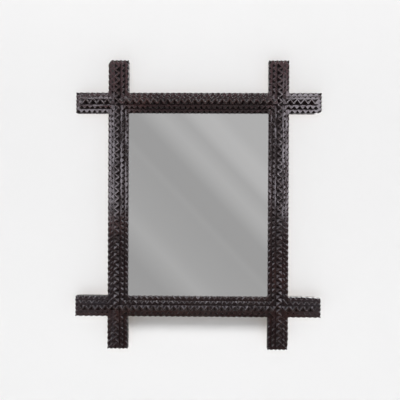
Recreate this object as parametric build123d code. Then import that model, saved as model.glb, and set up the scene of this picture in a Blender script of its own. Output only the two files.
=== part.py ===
from build123d import *
import os

# A tramp art mirror frame: two stiles and two rails that cross and run on as arms, each built up of three
# layers of wood with chip-carved edges. All sizes are in millimetres.
# X runs to the viewer's right, Z runs up, and the front of the frame looks along -Y.
# The origin is in the plane of the back, where the hanging eye is screwed into the top rail.

# The opening and the members
SIGHT_WIDTH = 242.0
SIGHT_HEIGHT = 317.0
ARM_LENGTH = 56.0
BASE_WIDTH = 35.0
MIDDLE_WIDTH = 22.0
MIDDLE_THICKNESS = 8.0
RIDGE_WIDTH = 9.0
RIDGE_THICKNESS = 8.0
# How far each upper layer stops short of the end of the layer that carries it
MIDDLE_END_STEP = 7.0
RIDGE_END_STEP = 1.6

# The chips: their spacing along the edge
BASE_CHIP_SPACING = 9.6
BASE_END_CHIP_SPACING = 7.0
MIDDLE_CHIP_SPACING = 9.0
RIDGE_CHIP_SPACING = 11.8
# What each chip leaves of the face between it and the next layer, or of a ridge strip's crest
BASE_CHIP_FLAT = 1.5
BASE_END_CHIP_FLAT = 2.0
MIDDLE_CHIP_FLAT = 1.7
RIDGE_CREST = 1.8
# The uncut foot below the chips of each layer, which in the base boards is in front of the mirror
BASE_CHIP_FOOT = 0.8
UPPER_CHIP_FOOT = 1.4
# Flat left on the edge between two chips, as a share of their spacing
CHIP_LAND_SHARE = 0.06
# The cutter starts this far above the face and ends this share past the bottom of the chip
CUTTER_HEADROOM = 1.0
CUTTER_OVERRUN = 1.15

# A corner broken off the top of the left stile
BROKEN_CORNER_WIDTH = 4.6
BROKEN_CORNER_HEIGHT = 5.4

# The rebate and what lies in it, and the wood left in front of it
LIP_THICKNESS = 5.0
REBATE_WIDTH = 7.0
BACK_RECESS = 0.4
PLATE_CLEARANCE = 1.0
MIRROR_THICKNESS = 3.0
PAPER_THICKNESS = 0.4
BACKBOARD_THICKNESS = 4.0

# Sprigs: headless cut nails, half driven into the rebate's wall
SPRIG_LENGTH = 14.0
SPRIG_BUTT = 2.6
SPRIG_TIP = 0.8
SPRIG_THICKNESS = 1.2
SPRIG_SPACING = 110.0

# One cut nail through each crossing, its head let in flush
NAIL_BUTT = 3.2
NAIL_TIP = 1.4
NAIL_THICKNESS = 2.0
NAIL_HEAD_LENGTH = 5.2
NAIL_HEAD_WIDTH = 4.2
NAIL_HEAD_THICKNESS = 1.2

# The screw eye and its loose ring
EYE_WIRE = 2.0
EYE_HOLE = 4.0
EYE_SHANK_DIAMETER = 2.6
EYE_SHANK_COVER = 4.0
EYE_POINT_LENGTH = 3.0
EYE_TIP_DIAMETER = 0.6
EYE_NECK = 1.2
RING_WIRE = 2.0
RING_HOLE = 12.0
RING_PLAY = 0.3
# The wire's section is drawn with this many flats
WIRE_SIDES = 12

# Distances that follow from the sizes above
REBATE_DEPTH = MIRROR_THICKNESS + PAPER_THICKNESS + BACKBOARD_THICKNESS + SPRIG_THICKNESS + BACK_RECESS
BASE_THICKNESS = LIP_THICKNESS + REBATE_DEPTH
BASE_CHIP_REACH = (BASE_WIDTH - MIDDLE_WIDTH) / 2 - BASE_CHIP_FLAT
BASE_END_CHIP_REACH = MIDDLE_END_STEP - BASE_END_CHIP_FLAT
BASE_CHIP_DROP = LIP_THICKNESS - BASE_CHIP_FOOT
MIDDLE_CHIP_REACH = (MIDDLE_WIDTH - RIDGE_WIDTH) / 2 - MIDDLE_CHIP_FLAT
MIDDLE_CHIP_DROP = MIDDLE_THICKNESS - UPPER_CHIP_FOOT
RIDGE_CHIP_REACH = RIDGE_WIDTH - RIDGE_CREST
RIDGE_CHIP_DROP = RIDGE_THICKNESS - UPPER_CHIP_FOOT
HALF_LAP = BASE_THICKNESS / 2
STILE_CENTRE_X = (SIGHT_WIDTH + BASE_WIDTH) / 2
RAIL_CENTRE_OFFSET = (SIGHT_HEIGHT + BASE_WIDTH) / 2
OPENING_CENTRE_Z = -RAIL_CENTRE_OFFSET
RAIL_HALF_LENGTH = SIGHT_WIDTH / 2 + BASE_WIDTH + ARM_LENGTH
STILE_HALF_LENGTH = SIGHT_HEIGHT / 2 + BASE_WIDTH + ARM_LENGTH
MIDDLE_FRONT = BASE_THICKNESS + MIDDLE_THICKNESS
RIDGE_FRONT = MIDDLE_FRONT + RIDGE_THICKNESS
RIDGE_END_INSET = MIDDLE_END_STEP + RIDGE_END_STEP
NAIL_LENGTH = BASE_THICKNESS + MIDDLE_THICKNESS / 2
EYE_CENTRE = EYE_NECK + EYE_WIRE + EYE_HOLE / 2
EYE_SHANK_DEPTH = BASE_THICKNESS - EYE_SHANK_COVER

# The frame is drawn as it is looked at: X to the right, Y up and Z towards the viewer, from the plane of
# the back and about the middle of the opening. This plane stands that drawing up at its place.
STANDING = Plane(origin=(0, 0, OPENING_CENTRE_Z), x_dir=(1, 0, 0), z_dir=(0, -1, 0))


def bar(start, end, width, back, thickness):
    """A plain strip along X, centred on Y = 0, whose back lies at Z = back."""
    return Pos((start + end) / 2, 0, back + thickness / 2) * Box(end - start, width, thickness)


def chip_row(length, spacing, reach, drop):
    """A cutter for a row of chips along +X from the origin, in an edge whose wood lies at -Y and whose face
    is at Z = 0.

    Each chip is a notch with two slanting walls. Its bottom line starts on the face, reach in from the
    edge, and runs down and out until it meets the side of the strip, drop below the face.
    """
    count = max(1, round(length / spacing))
    pitch = length / count
    tooth = reach * (1 / (1 - CHIP_LAND_SHARE) - 1)
    setback = CUTTER_HEADROOM * reach / drop
    outline = [(0, reach - setback), (0, tooth - setback)]
    for place in range(count):
        outline.append(((place + 0.5) * pitch, -reach - setback))
        outline.append(((place + 1) * pitch, tooth - setback))
    outline.append((length, reach - setback))
    profile = Pos(0, 0, CUTTER_HEADROOM) * make_face(Polyline(*outline, close=True))
    slope = Vector(0, reach, -drop)
    travel = slope.length * (CUTTER_HEADROOM / drop + CUTTER_OVERRUN)
    return extrude(profile, amount=travel, dir=slope.normalized())


def side_rows(spans, half_width, face, spacing, reach, drop):
    """Rows of chips along both long edges of a strip, one pair of rows for each (start, end) span."""
    rows = []
    for start, end in spans:
        row = chip_row(end - start, spacing, reach, drop)
        rows.append(Pos(start, half_width, face) * row)
        rows.append(Pos(end, -half_width, face) * Rot(0, 0, 180) * row)
    return rows


def end_rows(half_length, half_width, face, spacing, reach, drop):
    """A row of chips across each end of a strip."""
    row = chip_row(2 * half_width, spacing, reach, drop)
    return [
        Pos(half_length, half_width, face) * Rot(0, 0, -90) * row,
        Pos(-half_length, -half_width, face) * Rot(0, 0, 90) * row,
    ]


def open_spans(half_length, crossing, half_gap):
    """The three stretches of a member that its crossings leave free: an arm, the middle and an arm."""
    return [
        (-half_length, -crossing - half_gap),
        (-crossing + half_gap, crossing - half_gap),
        (crossing + half_gap, half_length),
    ]


def base_board(half_length, crossing, lap_back):
    """A base board with its chips, halved at both crossings. lap_back is where the removed half starts."""
    board = bar(-half_length, half_length, BASE_WIDTH, 0, BASE_THICKNESS)
    spans = open_spans(half_length, crossing, BASE_WIDTH / 2)
    cutters = side_rows(
        spans, BASE_WIDTH / 2, BASE_THICKNESS, BASE_CHIP_SPACING, BASE_CHIP_REACH, BASE_CHIP_DROP
    )
    cutters += end_rows(
        half_length,
        BASE_WIDTH / 2,
        BASE_THICKNESS,
        BASE_END_CHIP_SPACING,
        BASE_END_CHIP_REACH,
        BASE_CHIP_DROP,
    )
    for place in (-crossing, crossing):
        cutters.append(
            bar(place - BASE_WIDTH / 2, place + BASE_WIDTH / 2, 2 * BASE_WIDTH, lap_back, HALF_LAP)
        )
    return board - cutters


def middle_strip(start, end, spans):
    """A strip of the second layer with chips along the given spans of its edges."""
    strip = bar(start, end, MIDDLE_WIDTH, BASE_THICKNESS, MIDDLE_THICKNESS)
    return strip - side_rows(
        spans, MIDDLE_WIDTH / 2, MIDDLE_FRONT, MIDDLE_CHIP_SPACING, MIDDLE_CHIP_REACH, MIDDLE_CHIP_DROP
    )


def ridge_strip(start, end):
    """A top strip whose chips alternate from side to side and leave a zigzag crest."""
    strip = bar(start, end, RIDGE_WIDTH, MIDDLE_FRONT, RIDGE_THICKNESS)
    count = max(2, round((end - start) / RIDGE_CHIP_SPACING))
    pitch = (end - start) / count
    upper = chip_row(count * pitch, pitch, RIDGE_CHIP_REACH, RIDGE_CHIP_DROP)
    lower = chip_row((count - 1) * pitch, pitch, RIDGE_CHIP_REACH, RIDGE_CHIP_DROP)
    return strip - [
        Pos(start, RIDGE_WIDTH / 2, RIDGE_FRONT) * upper,
        Pos(end - pitch / 2, -RIDGE_WIDTH / 2, RIDGE_FRONT) * Rot(0, 0, 180) * lower,
    ]


def as_rail(piece, side):
    """Places a piece drawn along X on the top rail (side 1) or the bottom rail (side -1)."""
    return Pos(0, side * RAIL_CENTRE_OFFSET) * piece


def as_stile(piece, side):
    """Places a piece drawn along X on the right stile (side 1) or the left stile (side -1)."""
    return Pos(side * STILE_CENTRE_X, 0) * Rot(0, 0, 90) * piece


def opening_block(margin, back, thickness, drop=0.0):
    """A block as large as the sight opening and a margin all round, lowered by drop."""
    block = Box(SIGHT_WIDTH + 2 * margin, SIGHT_HEIGHT + 2 * margin, thickness)
    return Pos(0, -drop, back + thickness / 2) * block


def cut_nail(length, butt, tip, thickness):
    """A tapered nail of even thickness along +X, its butt in the plane X = 0 and its flat side on Z = 0."""
    outline = Polyline((0, -butt / 2), (length, -tip / 2), (length, tip / 2), (0, butt / 2), close=True)
    return extrude(make_face(outline), amount=thickness)


def along_wall(length):
    """Even places along a rebate wall of the given length, about SPRIG_SPACING apart."""
    count = max(2, round(length / SPRIG_SPACING))
    return [length * ((place + 0.5) / count - 0.5) for place in range(count)]


def sprigs():
    """All the sprigs, flat on the backboard and half way into the walls of the rebate."""
    wall_x = SIGHT_WIDTH / 2 + REBATE_WIDTH
    wall_y = SIGHT_HEIGHT / 2 + REBATE_WIDTH
    sprig = cut_nail(SPRIG_LENGTH, SPRIG_BUTT, SPRIG_TIP, SPRIG_THICKNESS)
    sprig = Pos(-SPRIG_LENGTH / 2, 0, BACK_RECESS) * sprig
    found = []
    for place in along_wall(SIGHT_HEIGHT):
        found.append(Pos(wall_x, place) * sprig)
        found.append(Pos(-wall_x, place) * Rot(0, 0, 180) * sprig)
    for place in along_wall(SIGHT_WIDTH):
        found.append(Pos(place, wall_y) * Rot(0, 0, 90) * sprig)
        found.append(Pos(place, -wall_y) * Rot(0, 0, -90) * sprig)
    return found


def corner_nail():
    """A cut nail along +Z, the flat of its head in the plane Z = 0."""
    head = Pos(0, 0, NAIL_HEAD_THICKNESS / 2) * Box(NAIL_HEAD_WIDTH, NAIL_HEAD_LENGTH, NAIL_HEAD_THICKNESS)
    shank = cut_nail(NAIL_LENGTH, NAIL_BUTT, NAIL_TIP, NAIL_THICKNESS)
    return head + Pos(NAIL_THICKNESS / 2, 0, 0) * Rot(0, -90, 0) * shank


def corner_nails():
    """One nail at the middle of each crossing."""
    return [
        Pos(side_x * STILE_CENTRE_X, side_y * RAIL_CENTRE_OFFSET) * corner_nail()
        for side_x in (-1, 1)
        for side_y in (-1, 1)
    ]


def wire_ring(hole, wire):
    """A closed ring of wire about the Z axis, with a clear hole of the given diameter."""
    section = Plane.XZ * Pos((hole + wire) / 2, 0) * RegularPolygon(wire / 2, WIRE_SIDES)
    return revolve(section, axis=Axis.Z)


def hanger_eye():
    """A screw eye in the back of the top rail: an upright wire loop and a pointed shank."""
    loop = Pos(0, 0, -EYE_CENTRE) * Rot(0, 90, 0) * wire_ring(EYE_HOLE, EYE_WIRE)
    root = -EYE_NECK - EYE_WIRE / 2
    shoulder = EYE_SHANK_DEPTH - EYE_POINT_LENGTH
    shank = Pos(0, 0, (root + shoulder) / 2) * Cylinder(EYE_SHANK_DIAMETER / 2, shoulder - root)
    point = Pos(0, 0, shoulder + EYE_POINT_LENGTH / 2) * Cone(
        EYE_SHANK_DIAMETER / 2, EYE_TIP_DIAMETER / 2, EYE_POINT_LENGTH
    )
    return as_rail(loop + shank + point, 1)


def hanger_ring():
    """The loose ring, hanging straight down in the eye's hole with a little play around its wire."""
    sag = (EYE_HOLE - RING_WIRE) / 2 - RING_PLAY
    drop = sag + (RING_HOLE + RING_WIRE) / 2
    return as_rail(Pos(0, -drop, -EYE_CENTRE) * wire_ring(RING_HOLE, RING_WIRE), 1)


def build():
    """Every sub-part by its name, still in the drawing."""
    parts = {}

    # The base boards: at the crossings the rails lose the front half of their thickness, the stiles the back
    rail_board = base_board(RAIL_HALF_LENGTH, STILE_CENTRE_X, HALF_LAP)
    stile_board = base_board(STILE_HALF_LENGTH, RAIL_CENTRE_OFFSET, 0)
    parts["top_rail_board"] = as_rail(rail_board, 1)
    parts["bottom_rail_board"] = as_rail(rail_board, -1)
    parts["left_stile_board"] = as_stile(stile_board, -1)
    parts["right_stile_board"] = as_stile(stile_board, 1)

    # The second layer: the stiles' strips run through, and the rails' strips are fitted against them
    half_middle = MIDDLE_WIDTH / 2
    stile_end = STILE_HALF_LENGTH - MIDDLE_END_STEP
    rail_end = RAIL_HALF_LENGTH - MIDDLE_END_STEP
    between = STILE_CENTRE_X - half_middle
    beyond = STILE_CENTRE_X + half_middle
    stile_middle = middle_strip(
        -stile_end, stile_end, open_spans(stile_end, RAIL_CENTRE_OFFSET, half_middle)
    )
    rail_middle = middle_strip(-between, between, [(-between, between)])
    right_arm_middle = middle_strip(beyond, rail_end, [(beyond, rail_end)])
    left_arm_middle = middle_strip(-rail_end, -beyond, [(-rail_end, -beyond)])
    parts["left_stile_middle"] = as_stile(stile_middle, -1)
    parts["right_stile_middle"] = as_stile(stile_middle, 1)
    for name, side in (("top", 1), ("bottom", -1)):
        parts[name + "_rail_middle"] = as_rail(rail_middle, side)
        parts[name + "_left_arm_middle"] = as_rail(left_arm_middle, side)
        parts[name + "_right_arm_middle"] = as_rail(right_arm_middle, side)

    # The top strips: at the lower left crossing the rail's strip runs through, at the others the stile's
    half_ridge = RIDGE_WIDTH / 2
    stile_tip = STILE_HALF_LENGTH - RIDGE_END_INSET
    rail_tip = RAIL_HALF_LENGTH - RIDGE_END_INSET
    inner = STILE_CENTRE_X - half_ridge
    outer = STILE_CENTRE_X + half_ridge
    parts["right_stile_ridge"] = as_stile(ridge_strip(-stile_tip, stile_tip), 1)
    parts["left_stile_ridge"] = as_stile(ridge_strip(-RAIL_CENTRE_OFFSET + half_ridge, stile_tip), -1)
    parts["left_foot_ridge"] = as_stile(ridge_strip(-stile_tip, -RAIL_CENTRE_OFFSET - half_ridge), -1)
    parts["top_rail_ridge"] = as_rail(ridge_strip(-inner, inner), 1)
    parts["top_left_arm_ridge"] = as_rail(ridge_strip(-rail_tip, -outer), 1)
    parts["top_right_arm_ridge"] = as_rail(ridge_strip(outer, rail_tip), 1)
    parts["bottom_rail_ridge"] = as_rail(ridge_strip(-rail_tip, inner), -1)
    parts["bottom_right_arm_ridge"] = as_rail(ridge_strip(outer, rail_tip), -1)

    # The rebate, the corner broken off the left stile, and what lies in the rebate from front to back
    boards = ("top_rail_board", "bottom_rail_board", "left_stile_board", "right_stile_board")
    rebate = opening_block(REBATE_WIDTH, 0, REBATE_DEPTH)
    for name in boards:
        parts[name] = parts[name] - rebate
    corner_x = -STILE_CENTRE_X - BASE_WIDTH / 2
    broken = Polyline(
        (corner_x, STILE_HALF_LENGTH),
        (corner_x + BROKEN_CORNER_WIDTH, STILE_HALF_LENGTH),
        (corner_x, STILE_HALF_LENGTH - BROKEN_CORNER_HEIGHT),
        close=True,
    )
    parts["left_stile_board"] -= extrude(make_face(broken), amount=BASE_THICKNESS)
    plate_margin = REBATE_WIDTH - PLATE_CLEARANCE
    level = REBATE_DEPTH
    for name, thickness in (
        ("mirror_plate", MIRROR_THICKNESS),
        ("backing_paper", PAPER_THICKNESS),
        ("backboard", BACKBOARD_THICKNESS),
    ):
        level -= thickness
        parts[name] = opening_block(plate_margin, level, thickness, PLATE_CLEARANCE)

    # The fastenings, and the holes that they make in the wood
    parts["backboard_sprigs"] = sprigs()
    parts["corner_nails"] = corner_nails()
    parts["hanger_eye"] = hanger_eye()
    parts["hanger_ring"] = hanger_ring()
    for name in boards:
        parts[name] = parts[name] - parts["backboard_sprigs"] - parts["corner_nails"]
    for name in ("left_stile_middle", "right_stile_middle"):
        parts[name] = parts[name] - parts["corner_nails"]
    parts["top_rail_board"] -= parts["hanger_eye"]
    return parts


def write(parts):
    """Writes each sub-part at its real place, a group of like pieces as one file of separate solids."""
    os.makedirs("parts", exist_ok=True)
    for name, piece in parts.items():
        shapes = piece if isinstance(piece, list) else [piece]
        solids = [solid for shape in shapes for solid in (STANDING.location * shape).solids()]
        body = solids[0] if len(solids) == 1 else Compound(children=solids)
        export_step(body, os.path.join("parts", name + ".step"))


write(build())
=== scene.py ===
"""A chip-carved mirror frame of three layers of wood, finished on its solids and hung before a pale wall."""

import math
import random

import bmesh
import bpy
from bpy.props import FloatProperty, FloatVectorProperty, IntProperty, PointerProperty
from mathutils import Matrix, Vector


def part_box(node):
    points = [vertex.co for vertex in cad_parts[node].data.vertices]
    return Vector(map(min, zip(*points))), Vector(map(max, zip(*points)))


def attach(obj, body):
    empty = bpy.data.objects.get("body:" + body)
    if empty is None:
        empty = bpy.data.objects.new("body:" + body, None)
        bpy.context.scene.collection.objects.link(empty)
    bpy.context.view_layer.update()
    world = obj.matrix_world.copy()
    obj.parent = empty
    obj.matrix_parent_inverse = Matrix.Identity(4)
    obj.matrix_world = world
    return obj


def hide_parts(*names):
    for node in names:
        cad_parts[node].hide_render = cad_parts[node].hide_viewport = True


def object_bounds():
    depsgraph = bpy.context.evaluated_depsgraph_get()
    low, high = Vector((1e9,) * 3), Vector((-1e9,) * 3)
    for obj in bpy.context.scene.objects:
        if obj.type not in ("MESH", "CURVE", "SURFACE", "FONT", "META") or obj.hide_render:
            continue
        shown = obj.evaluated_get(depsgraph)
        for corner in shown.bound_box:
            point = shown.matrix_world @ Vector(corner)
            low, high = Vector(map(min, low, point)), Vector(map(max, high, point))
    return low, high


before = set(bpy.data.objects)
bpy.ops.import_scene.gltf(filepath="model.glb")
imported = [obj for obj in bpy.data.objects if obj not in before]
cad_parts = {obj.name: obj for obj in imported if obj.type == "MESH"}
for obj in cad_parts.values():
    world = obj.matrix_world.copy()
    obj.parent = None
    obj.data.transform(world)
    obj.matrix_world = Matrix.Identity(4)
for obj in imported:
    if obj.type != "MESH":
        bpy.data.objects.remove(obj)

bl_info = {
    "name": "Tramp Art Frame",
    "version": (1, 0, 0),
    "blender": (4, 5, 0),
    "location": "3D View > Sidebar > Frame",
    "description": "Carves, finishes and hangs a layered mirror frame",
    "category": "Object",
}

CAD_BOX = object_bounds()
MM = 0.001

BOARDS = ("top_rail_board", "bottom_rail_board", "left_stile_board", "right_stile_board")
MIDDLES = (
    "left_stile_middle",
    "right_stile_middle",
    "top_rail_middle",
    "bottom_rail_middle",
    "top_left_arm_middle",
    "top_right_arm_middle",
    "bottom_left_arm_middle",
    "bottom_right_arm_middle",
)
RIDGES = (
    "right_stile_ridge",
    "left_stile_ridge",
    "left_foot_ridge",
    "top_rail_ridge",
    "top_left_arm_ridge",
    "top_right_arm_ridge",
    "bottom_rail_ridge",
    "bottom_right_arm_ridge",
)


def length_property(name, description, default):
    """A size in metres that shows in the scene's unit."""
    return FloatProperty(
        name=name,
        description=description,
        default=default,
        min=0.0,
        unit="LENGTH",
        subtype="DISTANCE",
        precision=5,
    )


def colour_property(name, description, default):
    """A plain colour."""
    return FloatVectorProperty(
        name=name, description=description, default=default, size=3, min=0.0, max=1.0, subtype="COLOR"
    )


class CarvingSizes(bpy.types.PropertyGroup):
    """What the carver sets out before cutting the edges."""

    board_spacing: length_property("Board chip spacing", "From chip to chip along a base board", 9.6 * MM)
    board_reach: length_property("Board chip reach", "How far a chip comes in over a board", 5.0 * MM)
    board_drop: length_property("Board chip drop", "How far a chip runs down a board's edge", 4.2 * MM)
    end_spacing: length_property("End chip spacing", "From chip to chip across a board's end", 7.0 * MM)
    middle_spacing: length_property("Middle chip spacing", "From chip to chip on the second layer", 9.0 * MM)
    middle_reach: length_property("Middle chip reach", "How far a chip comes in over the strip", 4.8 * MM)
    middle_drop: length_property("Middle chip drop", "How far a chip runs down the strip's edge", 6.6 * MM)
    ridge_spacing: length_property("Ridge chip spacing", "From chip to chip along a ridge strip", 11.8 * MM)
    ridge_reach: length_property("Ridge chip reach", "How far a chip comes in over the ridge", 7.2 * MM)
    ridge_drop: length_property("Ridge chip drop", "How far a chip runs down the ridge's side", 6.6 * MM)
    land: length_property("Land", "Edge left between two chips", 0.9 * MM)
    arris: length_property("Arris", "Width rubbed off the sharp edges", 0.22 * MM)
    wander: FloatProperty(
        name="Wander",
        description="How unevenly the chips are set out, as a share of their spacing",
        default=0.045,
    )
    seed: IntProperty(name="Hand", description="Another number gives another carver's hand", default=7)


class HangerSizes(bpy.types.PropertyGroup):
    """The wire of the screw eye and the ring."""

    wire: length_property("Wire", "How thick the wire of the eye and the ring is", 1.97 * MM)
    eye_hole: length_property("Eye hole", "Width of the eye's hole", 4.03 * MM)
    shank: length_property("Shank", "How thick the screw eye's shank is", 2.6 * MM)


class FinishColours(bpy.types.PropertyGroup):
    """The colours of the finishes."""

    stain: colour_property("Stain", "The dark stain on the wood", (0.0098, 0.0044, 0.0048))
    # The thin stain also paints the paler lower half of the bottom rail, partly as painted light from below.
    stain_thin: colour_property("Thin stain", "The stain where it has worn thin", (0.040, 0.0145, 0.0120))
    rubbed: colour_property("Rubbed wood", "The wood on the rubbed edges", (0.11, 0.060, 0.042))
    # This colour also paints a highlight on the chips that face up, standing in for light from above.
    dust: colour_property("Dust", "Old dust and polish on the chips that face up", (0.132, 0.126, 0.138))
    back_wood: colour_property("Back wood", "The unpolished wood of the back", (0.32, 0.20, 0.105))
    silver: colour_property("Silver", "The silvering of the mirror", (0.915, 0.91, 0.91))
    paper: colour_property("Paper", "The old paper behind the mirror", (0.42, 0.30, 0.17))
    iron: colour_property("Iron", "The dull iron of the nails", (0.16, 0.15, 0.145))
    rust: colour_property("Rust", "The rust on the nails", (0.20, 0.075, 0.03))
    brass: colour_property("Brass", "The tarnished brass of the hanger", (0.50, 0.33, 0.12))


class StageSettings(bpy.types.PropertyGroup):
    """The wall, the floor, the light and the camera."""

    wall_gap: length_property("Wall gap", "From the frame's back to the wall", 0.012)
    floor_drop: length_property("Floor drop", "From the frame's feet down to the floor", 0.60)
    wall_colour: colour_property("Wall colour", "The wall and the floor", (0.827, 0.831, 0.832))
    camera_distance: length_property("Camera distance", "From the camera to the frame's back", 0.95)
    lens: FloatProperty(name="Lens", description="The camera's focal length in millimetres", default=48.83)


class FrameSettings(bpy.types.PropertyGroup):
    """All the settings of the frame, kept with the scene."""

    carving: PointerProperty(type=CarvingSizes)
    hanger: PointerProperty(type=HangerSizes)
    colours: PointerProperty(type=FinishColours)
    stage: PointerProperty(type=StageSettings)


# Worn and broken corners: end, side, mm along the board, mm across it, curve, raggedness in mm

WEAR = {
    "left_stile_board": ((1, 1, 5.4, 4.6, 0.8, 0.28),),
    "top_rail_board": ((1, -1, 13.0, 3.2, 1.8, 0.0),),
    "bottom_rail_board": ((1, 1, 30.0, 1.9, 1.1, 0.0), (-1, 1, 9.0, 0.9, 1.6, 0.0)),
    "right_stile_board": ((-1, -1, 17.0, 1.5, 1.3, 0.0),),
}

# Shares and depths of the worn and uneven places, and how much the ridges' chips shine and take the painted
# highlight

CHIP_LAND = (0.35, 0.75)
CHIP_REACH = (0.90, 1.0)
RIDGE_WANDER, RIDGE_ARRIS, RIDGE_SHINE = 0.5, 0.9, 0.85
SPLIT_LENGTH, SPLIT_PLACE, SPLIT_DEPTH = 0.42, 0.34, 0.7

# The bent wires: where the eye's loop starts and how far round each wire goes, in degrees, and which way
# the ring's seam lies

EYE_START, EYE_TURN, RING_TURN = -14.0, 327.0, 356.5
RING_SEAM = (0.42, 0.0, -0.91)

# The stage in metres. Every card is a plane that only reflections show.

FLOOR_HALF, WALL_HALF = 9.0, 3.0
CARD_Y, CARD_HALF = -1.7, 1.5
SIDE_CARD_PLACE, SIDE_CARD_HALF, SIDE_CARD_GLOW = (1.2, -0.15, 0.70), 0.70, 3.5
GLOSS_CARD_Y = -1.15
GLOSS_CARDS = (
    # middle across and up, half width and half height, glow
    ((-0.66, -0.015), (0.35, 0.21), 6.6),
    ((0.66, 0.015), (0.35, 0.24), 8.6),
)
GLOW_TINT = (0.97, 0.91, 1.0)
CAMERA_X, CAMERA_Z = 0.01583, -0.1656
CAMERA_PAN, CAMERA_TILT, CAMERA_ROLL = 0.768, 90.0 - 0.121, 0.292

# The light: the room's level as it is seen and as it lights, and the lamps

SEEN_RAYS = ("Is Camera Ray", "Is Glossy Ray", "Is Transmission Ray")
ROOM_SEEN, ROOM_LIGHT = 0.86, 0.20
LAMPS = (
    # name, place, what it points at, size, power, colour
    ("light_above", (0.0, -3.0, 2.6), (0.0, 0.0, -0.17), (2.1, 1.2), 144.0, (1.0, 0.99, 0.99)),
    ("light_front", (0.0, -3.2, 0.5), (0.0, 0.0, -0.17), (2.4, 1.6), 8.0, (1.0, 0.99, 1.0)),
    ("light_behind", (0.3, 2.3, 0.3), (0.0, 0.0, -0.17), (1.6, 1.2), 20.0, (1.0, 1.0, 1.0)),
)

# The card before the frame: its dark middle, its warmer top and its two lower corners. The mirror shows
# the stretch that starts at these distances in from the left, the right, below and above.

CARD_DARK = (0.12, 0.09, 0.095)
CARD_WARM = (1.55, 0.98, 1.08)
CARD_LOW = (0.56, 0.60, 0.70)
CARD_SHOWN = ((-0.385, -0.37), (-0.335, -0.32), (-0.78, -0.64), (-0.275, -0.258))
CARD_RIM, CARD_RIM_DROP = 1.45, 0.176

# The slanting bands in that stretch: how their place is worked out from the card's X and Z, and their
# levels from one corner to the other

CARD_SLANT = (0.3627, 0.6478, 0.6146)
CARD_BANDS = (
    (0, 0.468), (0.15, 0.468), (0.2, 0.516), (0.25, 0.495), (0.29, 0.419), (0.35, 0.468),
    (0.38, 0.440), (0.43, 0.365), (0.51, 0.362), (0.535, 0.386), (0.56, 0.375), (0.66, 0.392),
    (0.7, 0.402), (0.76, 0.440), (0.87, 0.359), (1, 0.370),
)

# Materials


def tint(colour, share=1.0):
    """A colour scaled by one share, or by one for each channel."""
    shares = share if isinstance(share, tuple) else (share,) * 3
    return tuple(level * part for level, part in zip(colour, shares))


class Flow:
    """A socket in a material's nodes. Sums with numbers and with other sockets add Math nodes."""

    def __init__(self, paint, socket):
        self.paint = paint
        self.socket = socket

    def _math(self, operation, *values, clamp=False):
        node = self.paint.tree.nodes.new("ShaderNodeMath")
        node.operation = operation
        node.use_clamp = clamp
        for place, value in enumerate(values):
            self.paint.feed(node.inputs[place], value)
        return Flow(self.paint, node.outputs[0])

    def __add__(self, other):
        return self._math("ADD", self, other)

    __radd__ = __add__

    def __sub__(self, other):
        return self._math("SUBTRACT", self, other)

    def __rsub__(self, other):
        return self._math("SUBTRACT", other, self)

    def __mul__(self, other):
        return self._math("MULTIPLY", self, other)

    __rmul__ = __mul__

    def __pow__(self, other):
        return self._math("POWER", self, other)

    def clamped(self):
        """The value held between 0 and 1."""
        return self._math("ADD", self, 0.0, clamp=True)

    def step(self, low, high):
        """0 below low, 1 above high, and a smooth rise between them."""
        return self.paint.add(
            "ShaderNodeMapRange",
            {"interpolation_type": "SMOOTHSTEP"},
            {"Value": self, "From Min": low, "From Max": high},
        )


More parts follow.
